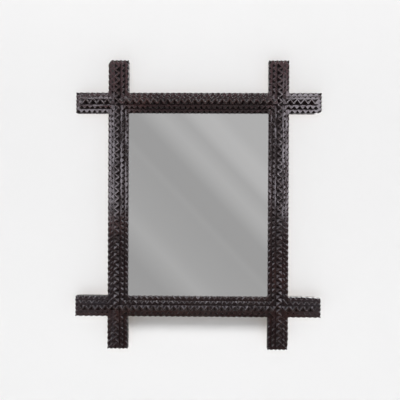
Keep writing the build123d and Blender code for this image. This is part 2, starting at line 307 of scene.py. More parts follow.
class Paint:
    """The nodes of one material, or of the world."""

    def __init__(self, name, owner=None):
        self.material = owner or bpy.data.materials.new(name)
        self.material.use_nodes = True
        self.tree = self.material.node_tree
        self.tree.nodes.clear()

    def feed(self, socket, value):
        """Sets a socket to a value, or links it to what flows in."""
        if isinstance(value, Flow):
            self.tree.links.new(value.socket, socket)
        elif isinstance(value, (tuple, list)) and len(value) == 3 and len(socket.default_value) == 4:
            socket.default_value = (*value, 1.0)
        else:
            socket.default_value = value

    def add(self, kind, settings=None, inputs=None, out=0):
        """Adds a node: its settings first, a colour ramp's stops among them, then its sockets."""
        node = self.tree.nodes.new(kind)
        for name, value in (settings or {}).items():
            if name == "stops":
                while len(node.color_ramp.elements) < len(value):
                    node.color_ramp.elements.new(0.5)
                for element, (place, level) in zip(node.color_ramp.elements, value):
                    element.position = place
                    element.color = (level, level, level, 1.0)
            else:
                setattr(node, name, value)
        for name, value in (inputs or {}).items():
            self.feed(node.inputs[name], value)
        return Flow(self, node.outputs[out])

    def attribute(self, name, out):
        """A named attribute of the mesh."""
        return self.add("ShaderNodeAttribute", {"attribute_name": name}, out=out)

    def here(self):
        """The place on the object."""
        return self.add("ShaderNodeTexCoord", out="Object")

    def along(self, axis):
        """How far along one axis the place on the object is."""
        return self.add("ShaderNodeSeparateXYZ", None, {0: self.here()}, out=axis)

    def stretched(self, vector, scale, offset=(0.0, 0.0, 0.0)):
        """A vector scaled along its three axes and moved."""
        inputs = {0: vector, 1: scale, 2: offset}
        return self.add("ShaderNodeVectorMath", {"operation": "MULTIPLY_ADD"}, inputs)

    def length(self, vector):
        """The length of a vector."""
        return self.add("ShaderNodeVectorMath", {"operation": "LENGTH"}, {0: vector}, out="Value")

    def looked_at(self):
        """1 for a ray from the camera, in a reflection or through glass, and 0 for one that only lights."""
        camera, glossy, through = (self.add("ShaderNodeLightPath", out=name) for name in SEEN_RAYS)
        return (camera + glossy + through).clamped()

    def noise(self, vector, scale=1.0, detail=3.0, roughness=0.5, distortion=0.0):
        """Soft noise between about 0.2 and 0.8."""
        inputs = {"Vector": vector, "Scale": scale, "Detail": detail, "Roughness": roughness}
        return self.add("ShaderNodeTexNoise", None, {**inputs, "Distortion": distortion})

    def mixed(self, share, first, second):
        """Two colours mixed: all first at 0, all second at 1."""
        node = self.tree.nodes.new("ShaderNodeMix")
        node.data_type = "RGBA"
        self.feed(node.inputs[0], share)
        self.feed(node.inputs[6], first)
        self.feed(node.inputs[7], second)
        return Flow(self, node.outputs[2])

    def bump(self, height, strength, distance):
        """A bumpy normal from a height."""
        inputs = {"Height": height, "Strength": strength, "Distance": distance}
        return self.add("ShaderNodeBump", None, inputs)

    def blended(self, share, first, second):
        """Two shaders mixed: all first at 0, all second at 1."""
        return self.add("ShaderNodeMixShader", None, {0: share, 1: first, 2: second})

    def glowing(self, colour, strength):
        """A shader that only gives off light."""
        return self.add("ShaderNodeEmission", None, {"Color": colour, "Strength": strength})

    def principled(self, **inputs):
        """A Principled shader. Underscores in the names stand for spaces."""
        named = {name.replace("_", " "): value for name, value in inputs.items()}
        return self.add("ShaderNodeBsdfPrincipled", None, named)

    def surface(self, **inputs):
        """The whole finish in one Principled shader."""
        self.finish(self.principled(**inputs))
        return self.material

    def finish(self, shader, output="ShaderNodeOutputMaterial"):
        """Joins the shader to the output."""
        self.tree.links.new(shader.socket, self.tree.nodes.new(output).inputs[0])


def stained_wood(colours):
    """Dark stain and old varnish over softwood: glossy on the flats, duller and darker in the cuts, with
    dust and a painted highlight on the chips that face up.
    """
    p = Paint("stained_wood")
    grain = p.attribute("grain", "Vector")
    marks = ("depth", "arris", "tone", "back", "cut", "ledge", "sheen")
    depth, arris, tone, back, cut, ledge, sheen = (p.attribute(name, "Fac") for name in marks)
    place = p.here()
    down = 0.0 - p.along("Z")

    figure = p.noise(p.stretched(grain, (14.0, 260.0, 260.0)), detail=4.0, roughness=0.6, distortion=0.4)
    pores = p.noise(p.stretched(grain, (90.0, 1500.0, 1500.0)), detail=2.0)
    cloud = p.noise(place, scale=22.0, detail=3.0)
    moved = p.stretched(place, (1.0, 1.0, 1.0), (3.1, 0.0, 1.7))
    patch = p.noise(moved, scale=9.0, detail=4.0, roughness=0.6)
    speck = p.noise(place, scale=420.0, detail=3.0, roughness=0.65)

    # The stain, worn thin in patches, and soaked in on the cuts. On the lower half of the bottom rail it is
    # paler, redder and less soaked, partly its own colour there and partly painted light from below
    feet = down.step(0.368, 0.385)
    underside_painted_lift = down.step(0.350, 0.357) * (1.0 - 0.8 * feet)
    thin = (0.55 * figure + 0.45 * cloud + 0.25 * (tone - 0.5)).step(0.42, 0.72)
    worn = patch.step(0.56, 0.70) * (0.35 + 0.65 * figure.step(0.35, 0.65))
    faded = (0.35 * thin + 0.65 * worn + 0.30 * underside_painted_lift).clamped()
    base = p.mixed(faded, tint(colours.stain), tint(colours.stain_thin))
    rub = (arris * (0.35 + 0.9 * speck) * (0.45 + 0.8 * cloud)).step(0.35, 0.85)
    base = p.mixed(0.5 * rub, base, tint(colours.rubbed))
    soaked = cut * (0.35 + 0.3 * figure) * (1.0 - 0.7 * underside_painted_lift)
    base = p.mixed(soaked, base, tint(colours.stain, 0.35))

    # Dust and a painted highlight on the chips' upward walls, standing in for light from above: most of it
    # near the crests and low on the frame
    lower = down.step(-0.10, 0.36) * (1.0 - 0.6 * feet)
    painted_highlight_and_dust = ledge.step(0.15, 0.55) * (0.12 + 1.1 * sheen * sheen)
    painted_highlight_and_dust = painted_highlight_and_dust * (0.45 + 0.35 * lower) * (0.55 + 0.9 * cloud)
    painted_highlight_and_dust = (painted_highlight_and_dust * (0.45 + 1.1 * speck) * (1.12 - 1.0 * depth.step(0.05, 0.75))).clamped()
    base = p.mixed(painted_highlight_and_dust, base, tint(colours.dust))

    # The bare wood of the back
    bare = p.mixed(figure.step(0.35, 0.65), tint(colours.back_wood, 0.55), tint(colours.back_wood))
    bare = p.mixed(cloud.step(0.45, 0.7) * 0.6, bare, tint(colours.stain_thin))
    back = (back + 0.25 * (figure - 0.5)).step(0.84, 0.94)
    base = p.mixed(back, base, bare)

    # A dull coat and a polished one, mixed by how well each place is polished
    rough = (0.48 + 0.16 * speck + 0.10 * cloud + 0.22 * painted_highlight_and_dust + 0.2 * back).clamped()
    height = 0.5 * figure + 0.3 * pores + 0.25 * speck
    dull = p.principled(
        Base_Color=base, Roughness=rough, Normal=p.bump(height, 0.3, 0.12 * MM), Specular_IOR_Level=0.12
    )
    slow = p.noise(p.stretched(grain, (26.0, 75.0, 75.0)), detail=2.0, roughness=0.45)
    wavy = p.bump(slow + 0.05 * figure + 0.012 * speck, 1.0, 0.55 * MM)
    sleek = (0.08 + 0.09 * cloud).clamped()
    glossy = p.principled(Base_Color=base, Roughness=sleek, Normal=wavy, Specular_IOR_Level=0.5)
    side = depth.step(0.72, 0.90)
    lit = cut * (0.12 + 0.5 * sheen + 0.35 * ledge) * (1.0 - 0.85 * side)
    polish = ((1.0 - cut) * (0.72 + 0.35 * cloud) + lit) * (1.0 - 0.4 * painted_highlight_and_dust) * (1.0 - back)
    p.finish(p.blended(polish.clamped(), dull, glossy))
    return p.material


def silvered_glass(colours):
    """Old silvered plate glass: a bright front, hazy and spotted at the rim, and a painted back."""
    p = Paint("silvered_glass")
    low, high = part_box("mirror_plate")
    place = p.here()
    x, z = p.along("X"), p.along("Z")
    across = ((x - (low.x + high.x) / 2) ** 2) ** 0.5 - (high.x - low.x) / 2
    upward = ((z - (low.z + high.z) / 2) ** 2) ** 0.5 - (high.z - low.z) / 2
    front = p.attribute("front", "Fac")
    haze = p.noise(place, scale=14.0, detail=4.0)
    wander = p.noise(place, scale=60.0, detail=4.0, roughness=0.6) * 5.0 * MM
    rim = ((across + wander).step(-4.5 * MM, 0.0) + (upward + wander).step(-4.5 * MM, 0.0)).clamped()
    spots = (rim * p.noise(place, scale=700.0, detail=3.0).step(0.45, 0.62)).clamped()
    silver = p.mixed(0.75 * spots, tint(colours.silver), (0.13, 0.11, 0.09))
    silver = p.mixed(haze.step(0.35, 0.75) * 0.04, silver, (0.76, 0.78, 0.80))
    base = p.mixed(front, (0.06, 0.035, 0.028), silver)
    return p.surface(
        Base_Color=base,
        Metallic=(front * (1.0 - 0.7 * spots)).clamped(),
        Roughness=(0.02 + 0.02 * haze + 0.15 * spots) * front + 0.6 * (1.0 - front),
        Specular_IOR_Level=0.5,
    )


def brown_paper(colours):
    """Brown paper with soft fibres."""
    p = Paint("brown_paper")
    place = p.here()
    fibre = p.noise(p.stretched(place, (600.0, 600.0, 900.0)), detail=4.0, roughness=0.7)
    stain = p.noise(place, scale=18.0, detail=4.0)
    base = p.mixed(stain.step(0.4, 0.7) * 0.6, tint(colours.paper), tint(colours.paper, 0.45))
    base = p.mixed(fibre.step(0.45, 0.7) * 0.3, base, tint(colours.paper, 1.5))
    return p.surface(
        Base_Color=base, Roughness=0.82 + 0.1 * fibre, Normal=p.bump(fibre + stain, 0.4, 0.1 * MM)
    )


def sawn_softwood(colours):
    """A thin sawn board, brown with age, with water marks and saw lines."""
    p = Paint("sawn_softwood")
    grain = p.attribute("grain", "Vector")
    place = p.here()
    rings = p.add(
        "ShaderNodeTexWave",
        {"wave_type": "BANDS", "bands_direction": "Y", "wave_profile": "SIN"},
        {
            "Vector": p.stretched(grain, (1.1, 19.0, 19.0)),
            "Scale": 1.0,
            "Distortion": 7.0,
            "Detail": 2.0,
            "Detail Scale": 1.1,
            "Detail Roughness": 0.6,
        },
        out="Fac",
    )
    fine = p.noise(p.stretched(grain, (22.0, 900.0, 900.0)), detail=3.0, roughness=0.6)
    cloud = p.noise(place, scale=9.0, detail=5.0, roughness=0.6)
    saw = p.noise(p.stretched(grain, (700.0, 12.0, 12.0)), detail=1.0)
    edge = p.attribute("arris", "Fac")
    late = (0.42 * rings.step(0.30, 0.95) + 0.40 * fine.step(0.35, 0.7)).clamped()
    base = p.mixed(late, tint(colours.back_wood), tint(colours.back_wood, (0.48, 0.38, 0.30)))
    base = p.mixed(cloud.step(0.46, 0.66) * 0.4, base, tint(colours.back_wood, 0.38))
    base = p.mixed(0.5 * edge, base, tint(colours.back_wood, 0.5))
    height = 0.45 * fine + 0.4 * rings + 0.3 * saw
    return p.surface(
        Base_Color=base, Roughness=0.68 + 0.2 * fine, Normal=p.bump(height, 0.5, 0.2 * MM)
    )


def dull_iron(colours):
    """Old cut-nail iron, dark, with patches of rust."""
    p = Paint("dull_iron")
    place = p.here()
    pits = p.noise(place, scale=1500.0, detail=4.0, roughness=0.65)
    patch = p.noise(place, scale=360.0, detail=4.0, roughness=0.6)
    edge = p.attribute("arris", "Fac")
    rust = (patch + 0.3 * pits).step(0.52, 0.74)
    base = p.mixed(rust, tint(colours.iron), tint(colours.rust))
    base = p.mixed(0.35 * edge * (1.0 - rust), base, (0.42, 0.40, 0.38))
    return p.surface(
        Base_Color=base,
        Metallic=(0.9 - 0.85 * rust).clamped(),
        Roughness=0.46 + 0.4 * rust,
        Normal=p.bump(pits + 0.6 * patch, 0.5, 0.08 * MM),
    )


def tarnished_brass(colours):
    """Brass wire, brown with tarnish and rubbed bright where the ring runs."""
    p = Paint("tarnished_brass")
    place = p.here()
    cloud = p.noise(place, scale=240.0, detail=4.0, roughness=0.6)
    speck = p.noise(place, scale=1800.0, detail=3.0)
    tarnish = (cloud + 0.25 * speck).step(0.45, 0.75)
    base = p.mixed(tarnish, tint(colours.brass), tint(colours.brass, (0.36, 0.34, 0.42)))
    return p.surface(
        Base_Color=base,
        Metallic=1.0 - 0.25 * tarnish,
        Roughness=0.26 + 0.28 * tarnish,
        Normal=p.bump(speck, 0.25, 0.04 * MM),
    )


# Mesh helpers


def strip_place(node):
    """Where a straight wooden piece lies: the matrix from its own axes, its length, width and thickness.

    Its own X runs along the grain, Y across its face, and Z from its back at 0 to its face.
    """
    low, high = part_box(node)
    centre = (low + high) / 2
    size = high - low
    if size.z > size.x:
        axes = Matrix(((0, -1, 0), (0, 0, -1), (1, 0, 0)))
        length, width = size.z, size.x
    else:
        axes = Matrix(((1, 0, 0), (0, 0, -1), (0, 1, 0)))
        length, width = size.x, size.z
    return Matrix.Translation((centre.x, high.y, centre.z)) @ axes.to_4x4(), length, width, size.y


def block(low, high, place=Matrix()):
    """A bmesh box between two corners, put in place."""
    bm = bmesh.new()
    low, high = Vector(low), Vector(high)
    size = Matrix.Diagonal((*(high - low), 1.0))
    bmesh.ops.create_cube(bm, size=1.0, matrix=place @ Matrix.Translation((low + high) / 2) @ size)
    return bm


def scratch_object(name, bm):
    """A linked object of a bmesh, which is freed."""
    mesh = bpy.data.meshes.new(name)
    bm.to_mesh(mesh)
    bm.free()
    made = bpy.data.objects.new(name, mesh)
    bpy.context.scene.collection.objects.link(made)
    return made


def push_out(bm, corners, run):
    """Makes a solid of a flat outline, whose face is extruded along the run."""
    face = bm.faces.new([bm.verts.new(corner) for corner in corners])
    grown = bmesh.ops.extrude_face_region(bm, geom=[face])
    tips = [part for part in grown["geom"] if isinstance(part, bmesh.types.BMVert)]
    bmesh.ops.translate(bm, vec=run, verts=tips)


def cut_away(blank, cutters, operation="DIFFERENCE"):
    """The blank less each of the cutters, or joined with them, as a new bmesh."""
    body = scratch_object("blank", blank)
    tools = [scratch_object("cutter", cutter) for cutter in cutters]
    for tool in tools:
        cut = body.modifiers.new("cut", "BOOLEAN")
        cut.operation = operation
        cut.solver = "EXACT"
        cut.object = tool
    graph = bpy.context.evaluated_depsgraph_get()
    mesh = bpy.data.meshes.new_from_object(body.evaluated_get(graph))
    bm = bmesh.new()
    bm.from_mesh(mesh)
    bpy.data.meshes.remove(mesh)
    for used in [body, *tools]:
        data = used.data
        bpy.data.objects.remove(used)
        bpy.data.meshes.remove(data)
    bmesh.ops.remove_doubles(bm, verts=bm.verts, dist=0.002 * MM)
    bmesh.ops.dissolve_degenerate(bm, edges=bm.edges, dist=0.005 * MM)
    return bm


def rub_arrises(bm, width, segments=2, angle=math.radians(25)):
    """Takes the sharpness off the outward edges, and marks the faces that come of it."""
    mark = bm.faces.layers.float.get("arris") or bm.faces.layers.float.new("arris")
    edges = [e for e in bm.edges if e.is_manifold and e.calc_face_angle_signed() > angle]
    made = bmesh.ops.bevel(
        bm,
        geom=edges,
        offset=width,
        offset_type="OFFSET",
        segments=segments,
        profile=0.5,
        affect="EDGES",
        material=-1,
        clamp_overlap=False,
    )
    for face in made["faces"]:
        face[mark] = 1.0
        face.smooth = True
    return bm


def piece(name, bm, material, body, slot, *nodes):
    """Makes the finished object of a bmesh and hands it to the frame."""
    made = scratch_object(name, bm)
    made.data.materials.append(material)
    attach(made, body)
    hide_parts(*nodes)


def point_values(bm, name, value):
    """Writes a number for each vertex, from its place."""
    layer = bm.verts.layers.float.new(name)
    for v in bm.verts:
        v[layer] = value(v.co)


def between(value, low=0.0, high=1.0):
    """The value held between two others."""
    return max(low, min(high, value))


def mark_wood(bm, place, thickness, hand, shine=1.0):
    """Gives a wooden piece its own stretch of grain and its tone, and marks its depths, cuts and ledges."""
    home = place.inverted()
    shift = Vector([hand.uniform(-5.0, 5.0) for _ in range(3)])
    grain = bm.verts.layers.float_vector.new("grain")
    for v in bm.verts:
        v[grain] = home @ v.co + shift
    tone = hand.random()
    point_values(bm, "tone", lambda co: tone)
    cut = bm.faces.layers.float.new("cut")
    ledge = bm.faces.layers.float.new("ledge")
    sheen = bm.faces.layers.float.new("sheen")
    outward = place.to_3x3() @ Vector((0, 0, 1))
    flat, steep = 0.98, 4.0
    for face in bm.faces:
        facing = face.normal.dot(outward)
        face[cut] = between(steep * (flat - facing))
        # How much a cut face looks up: this sets where the painted highlight and dust go.
        face[ledge] = face[cut] * max(0.0, face.normal.z) * between(steep * facing)
        face[sheen] = hand.random() * shine
    deep = 6.0 * MM
    point_values(bm, "depth", lambda co: between((thickness - (home @ co).z) / deep))


def add_chip_row(bm, length, chip, sizes, wander, hand, place):
    """Adds the body that cuts one row of chips, from the origin along +X in an edge with its wood at -Y.

    A chip, set out by (spacing, reach, drop), has two slanting walls and a bottom line down and out.
    """
    spacing, reach, drop = chip
    headroom, overrun = 1.0 * MM, 1.3
    count = max(1, round(length / spacing))
    pitch = length / count
    bounds = [0.0]
    bounds += [pitch * (k + hand.uniform(-wander, wander)) for k in range(1, count)]
    bounds.append(length)
    chips = []
    for start, end in zip(bounds, bounds[1:]):
        half_land = sizes.land * hand.uniform(*CHIP_LAND)
        middle = (start + end) / 2 + pitch * hand.uniform(-wander, wander)
        chips.append((start + half_land, middle, end - half_land, reach * hand.uniform(*CHIP_REACH)))
    left, middle, right, deep = chips[0]
    outline = [(0.0, 2 * reach), (0.0, deep * left / (middle - left))]
    for this, following in zip(chips, chips[1:]):
        left, middle, right, deep = this
        outline.append((middle, -deep))
        out_slope = (right - middle) / deep
        in_slope = (following[1] - following[0]) / following[3]
        rise = (following[0] - right) / (out_slope + in_slope)
        outline.append((right + rise * out_slope, rise))
    left, middle, right, deep = chips[-1]
    outline.append((middle, -deep))
    outline.append((length, deep * (length - right) / (right - middle)))
    outline.append((length, 2 * reach))
    setback = headroom * reach / drop
    corners = [place @ Vector((x, y - setback, headroom)) for x, y in outline]
    run = (headroom / drop + overrun) * Vector((0.0, reach, -drop))
    push_out(bm, corners, place.to_3x3() @ run)


def edge_rows(spans, half_width, face, chip, sizes, hand, place):
    """A cutter for rows of chips along both long edges of a strip, one pair of rows for each span."""
    bm = bmesh.new()
    for start, end in spans:
        for side in (1, -1):
            turn = Matrix.Rotation(0.0 if side > 0 else math.pi, 4, "Z")
            corner = Matrix.Translation((start if side > 0 else end, side * half_width, face))
            add_chip_row(bm, end - start, chip, sizes, sizes.wander, hand, place @ corner @ turn)
    bmesh.ops.recalc_face_normals(bm, faces=bm.faces)
    return bm


def end_rows(half_length, half_width, face, chip, sizes, hand, place):
    """A cutter for a row of chips across each end of a strip."""
    bm = bmesh.new()
    for side in (1, -1):
        turn = Matrix.Rotation(-side * math.pi / 2, 4, "Z")
        corner = Matrix.Translation((side * half_length, side * half_width, face))
        add_chip_row(bm, 2 * half_width, chip, sizes, sizes.wander, hand, place @ corner @ turn)
    bmesh.ops.recalc_face_normals(bm, faces=bm.faces)
    return bm


def node_copy(node, back_overrun=0.0):
    """A merged copy of a CAD node. What lies in the frame's back plane can be drawn out past it."""
    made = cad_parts[node]
    bm = bmesh.new()
    bm.from_mesh(made.data)
    bm.transform(made.matrix_world)
    bmesh.ops.remove_doubles(bm, verts=bm.verts, dist=0.001 * MM)
    bmesh.ops.dissolve_limit(bm, angle_limit=math.radians(1.0), verts=bm.verts, edges=bm.edges)
    bmesh.ops.recalc_face_normals(bm, faces=bm.faces)
    for v in bm.verts:
        if abs(v.co.y) < 0.01 * MM:
            v.co.y += back_overrun
    return bm


def worn_corners(node, hand):
    """The wedges that wear or a knock took off a board's corners."""
    place, length, width, thickness = strip_place(node)
    over, steps = 2.0 * MM, 6
    cutters = []
    for end, side, along, across, curve, ragged in WEAR.get(node, ()):
        along, across = along * MM, across * MM
        line = []
        for step in range(steps + 1):
            t = step / steps
            slip = hand.uniform(-ragged, ragged) * MM
            line.append((length / 2 - along * (1 - t) + slip, width / 2 - across * t**curve + slip))
        beyond, beside = length / 2 + over, width / 2 + over
        line.insert(0, (line[0][0] - over * 0.2, beside))
        line += [(beyond, width / 2 - across), (beyond, beside)]
        bm = bmesh.new()
        corners = [place @ Vector((end * x, side * y, -MM)) for x, y in line]
        push_out(bm, corners, place.to_3x3() @ Vector((0.0, 0.0, thickness + 2 * MM)))
        bmesh.ops.recalc_face_normals(bm, faces=bm.faces)
        cutters.append(bm)
    return cutters


def bent_wire(centre, radius, wire, normal, first, angle, steps=44):
    """A round wire with flat ends, bent in an arc about the centre from the place that first points to."""
    bm = bmesh.new()
    normal, first = Vector(normal), Vector(first).normalized()
    section = Matrix((first, normal, first.cross(normal))).transposed().to_4x4()
    where = Matrix.Translation(Vector(centre) + first * radius) @ section
    bmesh.ops.create_circle(bm, cap_ends=False, segments=18, radius=wire, matrix=where)
    ring = bm.edges[:] + bm.verts[:]
    bmesh.ops.spin(bm, geom=ring, cent=centre, axis=normal, angle=angle, steps=steps, use_merge=False)
    bmesh.ops.holes_fill(bm, edges=[e for e in bm.edges if e.is_boundary], sides=0)
    bmesh.ops.recalc_face_normals(bm, faces=bm.faces)
    for face in bm.faces:
        face.smooth = len(face.verts) == 4
    return bm


def turned(profile, steps=24):
    """A round body about the frame's Y axis, from (radius, y) pairs."""
    bm = bmesh.new()
    verts = [bm.verts.new((radius, y, 0.0)) for radius, y in profile]
    geom = verts + [bm.edges.new(pair) for pair in zip(verts, verts[1:])]
    full = {"cent": (0, 0, 0), "axis": (0, 1, 0), "angle": math.tau, "use_merge": True}
    bmesh.ops.spin(bm, geom=geom, steps=steps, **full)
    bmesh.ops.remove_doubles(bm, verts=bm.verts, dist=0.002 * MM)
    bmesh.ops.recalc_face_normals(bm, faces=bm.faces)
    for face in bm.faces:
        face.smooth = True
    return bm


def board_split(place, length, width, thickness, hand):
    """The cutter for a split that runs up a board from one end, wandering and closing as it goes."""
    line, steps = [], 9
    sway, shake, opening, closed = 1.4 * MM, 0.1, 0.32 * MM, 0.05 * MM
    for step in range(steps + 1):
        t = step / steps
        x = -length / 2 - MM + SPLIT_LENGTH * length * t
        y = width / 2 * SPLIT_PLACE + sway * math.sin(5.0 * t) + hand.uniform(-shake, shake) * MM
        line.append((x, y, opening * (1.0 - t) + closed))
    outline = [(x, y + w) for x, y, w in line] + [(x, y - w) for x, y, w in reversed(line)]
    bm = bmesh.new()
    corners = [place @ Vector((x, y, -MM)) for x, y in outline]
    push_out(bm, corners, place.to_3x3() @ Vector((0, 0, MM + SPLIT_DEPTH * thickness)))
    bmesh.ops.recalc_face_normals(bm, faces=bm.faces)
    return bm


def shaved_board(place, length, width, thickness, hand):
    """The backboard, shaved thinner along its edges at the back and split a little way up from one end."""
    half, side = length / 2, width / 2
    shave, depth, nearly = 3.2 * MM, 0.9 * MM, 0.001 * MM
    bm = block((-half, -side, 0.0), (half, side, thickness), place)
    home = place.inverted()
    back = [f for f in bm.faces if (home.to_3x3() @ f.normal).z < -0.9]
    bmesh.ops.inset_region(bm, faces=back, thickness=shave, use_even_offset=True)
    rim = []
    for v in bm.verts:
        x, y, z = home @ v.co
        if z < nearly and (abs(x) > half - nearly or abs(y) > side - nearly):
            rim.append(v)
    bmesh.ops.translate(bm, vec=place.to_3x3() @ Vector((0, 0, depth)), verts=rim)
    split = board_split(place, length, width, thickness, hand)
    return rub_arrises(cut_away(bm, [split]), 0.18 * MM)


def crossing_of(node):
    """How far from the opening's middle a member is crossed, along its own length."""
    sides = ("top_rail", "bottom_rail") if "stile" in node else ("left_stile", "right_stile")
    first, second = (sum(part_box(side + "_board"), Vector()) / 2 for side in sides)
    return (first - second).length / 2


def crossed_spans(half, side, crossing):
    """The three free stretches of a member that two others of its width cross."""
    return [(-half, -crossing - side), (-crossing + side, crossing - side), (crossing + side, half)]


def stained_piece(node, bm):
    """Hands over one finished strip or board of stained wood."""
    piece(node + "_carved", bm, materials()["stained_wood"], "frame", "dark_stained_wood", node)


def materials():
    """The finishes, made once and kept by name."""
    colours = bpy.context.scene.tramp_frame.colours
    makers = (stained_wood, silvered_glass, brown_paper, sawn_softwood, dull_iron, tarnished_brass)
    return {m.__name__: bpy.data.materials.get(m.__name__) or m(colours) for m in makers}


# Operators


class FRAME_OT_base_boards(bpy.types.Operator):
    """Carve the four wide boards, halve them at the crossings and cut the rebate"""

    bl_idname = "frame.base_boards"
    bl_label = "Base Boards"

    def execute(self, context):
        sizes = context.scene.tramp_frame.carving
        chip = (sizes.board_spacing, sizes.board_reach, sizes.board_drop)
        end_chip = (sizes.end_spacing, sizes.board_reach, sizes.board_drop)
        plate_low, plate_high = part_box("mirror_plate")
        slack, past_back = 1.0 * MM, 5.0 * MM
        rebate = (
            (plate_low.x - slack, plate_low.y, plate_low.z),
            (plate_high.x + slack, past_back, plate_high.z + 2 * slack),
        )
        for number, node in enumerate(BOARDS):
            hand = random.Random(sizes.seed * 100 + number)
            place, length, width, thickness = strip_place(node)
            half, side, crossing = length / 2, width / 2, crossing_of(node)
            spans = crossed_spans(half, side, crossing)
            lap = (thickness / 2, thickness + MM) if "rail" in node else (-MM, thickness / 2)
            cutters = [
                edge_rows(spans, side, thickness, chip, sizes, hand, place),
                end_rows(half, side, thickness, end_chip, sizes, hand, place),
            ]
            for at in (-crossing, crossing):
                cutters.append(block((at - side, -width, lap[0]), (at + side, width, lap[1]), place))
            cutters.append(block(*rebate))
            cutters += worn_corners(node, hand)
            cutters += [node_copy("corner_nails", MM), node_copy("backboard_sprigs")]
            if node == "top_rail_board":
                cutters.append(node_copy("hanger_eye"))
            bm = cut_away(block((-half, -side, 0.0), (half, side, thickness), place), cutters)
            rub_arrises(bm, sizes.arris)
            mark_wood(bm, place, thickness, hand)
            home, skin = place.inverted(), 0.3 * MM
            point_values(bm, "back", lambda co: 1.0 if (home @ co).z < skin else 0.0)
            stained_piece(node, bm)
        return {"FINISHED"}


class FRAME_OT_middle_strips(bpy.types.Operator):
    """Carve the eight strips of the second layer"""

    bl_idname = "frame.middle_strips"
    bl_label = "Middle Strips"

    def execute(self, context):
        sizes = context.scene.tramp_frame.carving
        chip = (sizes.middle_spacing, sizes.middle_reach, sizes.middle_drop)
        for number, node in enumerate(MIDDLES):
            hand = random.Random(sizes.seed * 200 + number)
            place, length, width, thickness = strip_place(node)
            half, side = length / 2, width / 2
            spans, nails = [(-half, half)], []
            if "stile" in node:
                spans = crossed_spans(half, side, crossing_of(node))
                nails = [node_copy("corner_nails", MM)]
            cutters = [edge_rows(spans, side, thickness, chip, sizes, hand, place), *nails]
            bm = cut_away(block((-half, -side, 0.0), (half, side, thickness), place), cutters)
            rub_arrises(bm, sizes.arris)
            mark_wood(bm, place, thickness, hand)
            stained_piece(node, bm)
        return {"FINISHED"}


class FRAME_OT_ridge_strips(bpy.types.Operator):
    """Carve the eight narrow top strips into zigzag crests"""

    bl_idname = "frame.ridge_strips"
    bl_label = "Ridge Strips"

    def execute(self, context):
        sizes = context.scene.tramp_frame.carving
        wander = sizes.wander * RIDGE_WANDER
        for number, node in enumerate(RIDGES):
            hand = random.Random(sizes.seed * 300 + number)
            place, length, width, thickness = strip_place(node)
            half, side = length / 2, width / 2
            pitch = length / max(2, round(length / sizes.ridge_spacing))
            chip = (pitch, sizes.ridge_reach, sizes.ridge_drop)
            rows = []
            for reach_in, at, turned_by in ((0.0, 1, 0.0), (pitch / 2, -1, math.pi)):
                bm = bmesh.new()
                start = (-half if at > 0 else half - reach_in, at * side, thickness)
                stand = place @ Matrix.Translation(start) @ Matrix.Rotation(turned_by, 4, "Z")
                add_chip_row(bm, length - 2 * reach_in, chip, sizes, wander, hand, stand)
                bmesh.ops.recalc_face_normals(bm, faces=bm.faces)
                rows.append(bm)
            bm = cut_away(block((-half, -side, 0.0), (half, side, thickness), place), rows)
            rub_arrises(bm, sizes.arris * RIDGE_ARRIS)
            mark_wood(bm, place, thickness, hand, RIDGE_SHINE)
            stained_piece(node, bm)
        return {"FINISHED"}


class FRAME_OT_mirror(bpy.types.Operator):
    """Lay the mirror, the paper and the backboard in the rebate"""

    bl_idname = "frame.mirror"
    bl_label = "Mirror and Backing"

    def execute(self, context):
        finishes = materials()
        low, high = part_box("mirror_plate")
        seam = 0.4 * MM
        bm = rub_arrises(block(low, high), seam)
        point_values(bm, "front", lambda co: 1.0 if co.y < low.y + 1.25 * seam else 0.0)
        piece("mirror_glass", bm, finishes["silvered_glass"], "frame", "looking_glass", "mirror_plate")
        place, length, width, thickness = strip_place("backboard")
        hand = random.Random(context.scene.tramp_frame.carving.seed)
        bm = shaved_board(place, length, width, thickness, hand)
        mark_wood(bm, place, thickness, hand)
        piece("backboard_sawn", bm, finishes["sawn_softwood"], "frame", "bare_softwood", "backboard")
        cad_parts["backing_paper"].data.materials.clear()
        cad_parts["backing_paper"].data.materials.append(finishes["brown_paper"])
        return {"FINISHED"}


class FRAME_OT_fastenings(bpy.types.Operator):
    """Drive the sprigs and the corner nails, and dull their edges"""

    bl_idname = "frame.fastenings"
    bl_label = "Fastenings"

    def execute(self, context):
        iron = materials()["dull_iron"]
        for node, rub in (("backboard_sprigs", 0.10 * MM), ("corner_nails", 0.22 * MM)):
            bm = rub_arrises(node_copy(node), rub)
            piece(node + "_driven", bm, iron, "frame", "iron", node)
        return {"FINISHED"}


def eye_profile(neck, wire, shank, tip_end):
    """Half the outline of the screw eye's neck and thread, as (radius, y) pairs from the loop to the tip."""
    core, tip = shank - 0.3 * MM, 0.3 * MM
    thread_start, thread_end = -1.2 * MM, tip_end + 3.0 * MM
    pitch = 1.1 * MM
    profile = [(0.0, neck + 0.93 * wire), (0.55 * wire, neck + 0.85 * wire), (wire, neck + 0.5 * wire)]
    profile += [(shank, neck), (shank, -0.4 * MM), (core, -0.7 * MM)]
    at = thread_start
    while at - pitch > thread_end - 0.2 * MM:
        profile += [(shank, at), (core, at - 0.5 * pitch)]
        at -= pitch
    return profile + [(shank, thread_end), (tip, tip_end), (0.0, tip_end)]


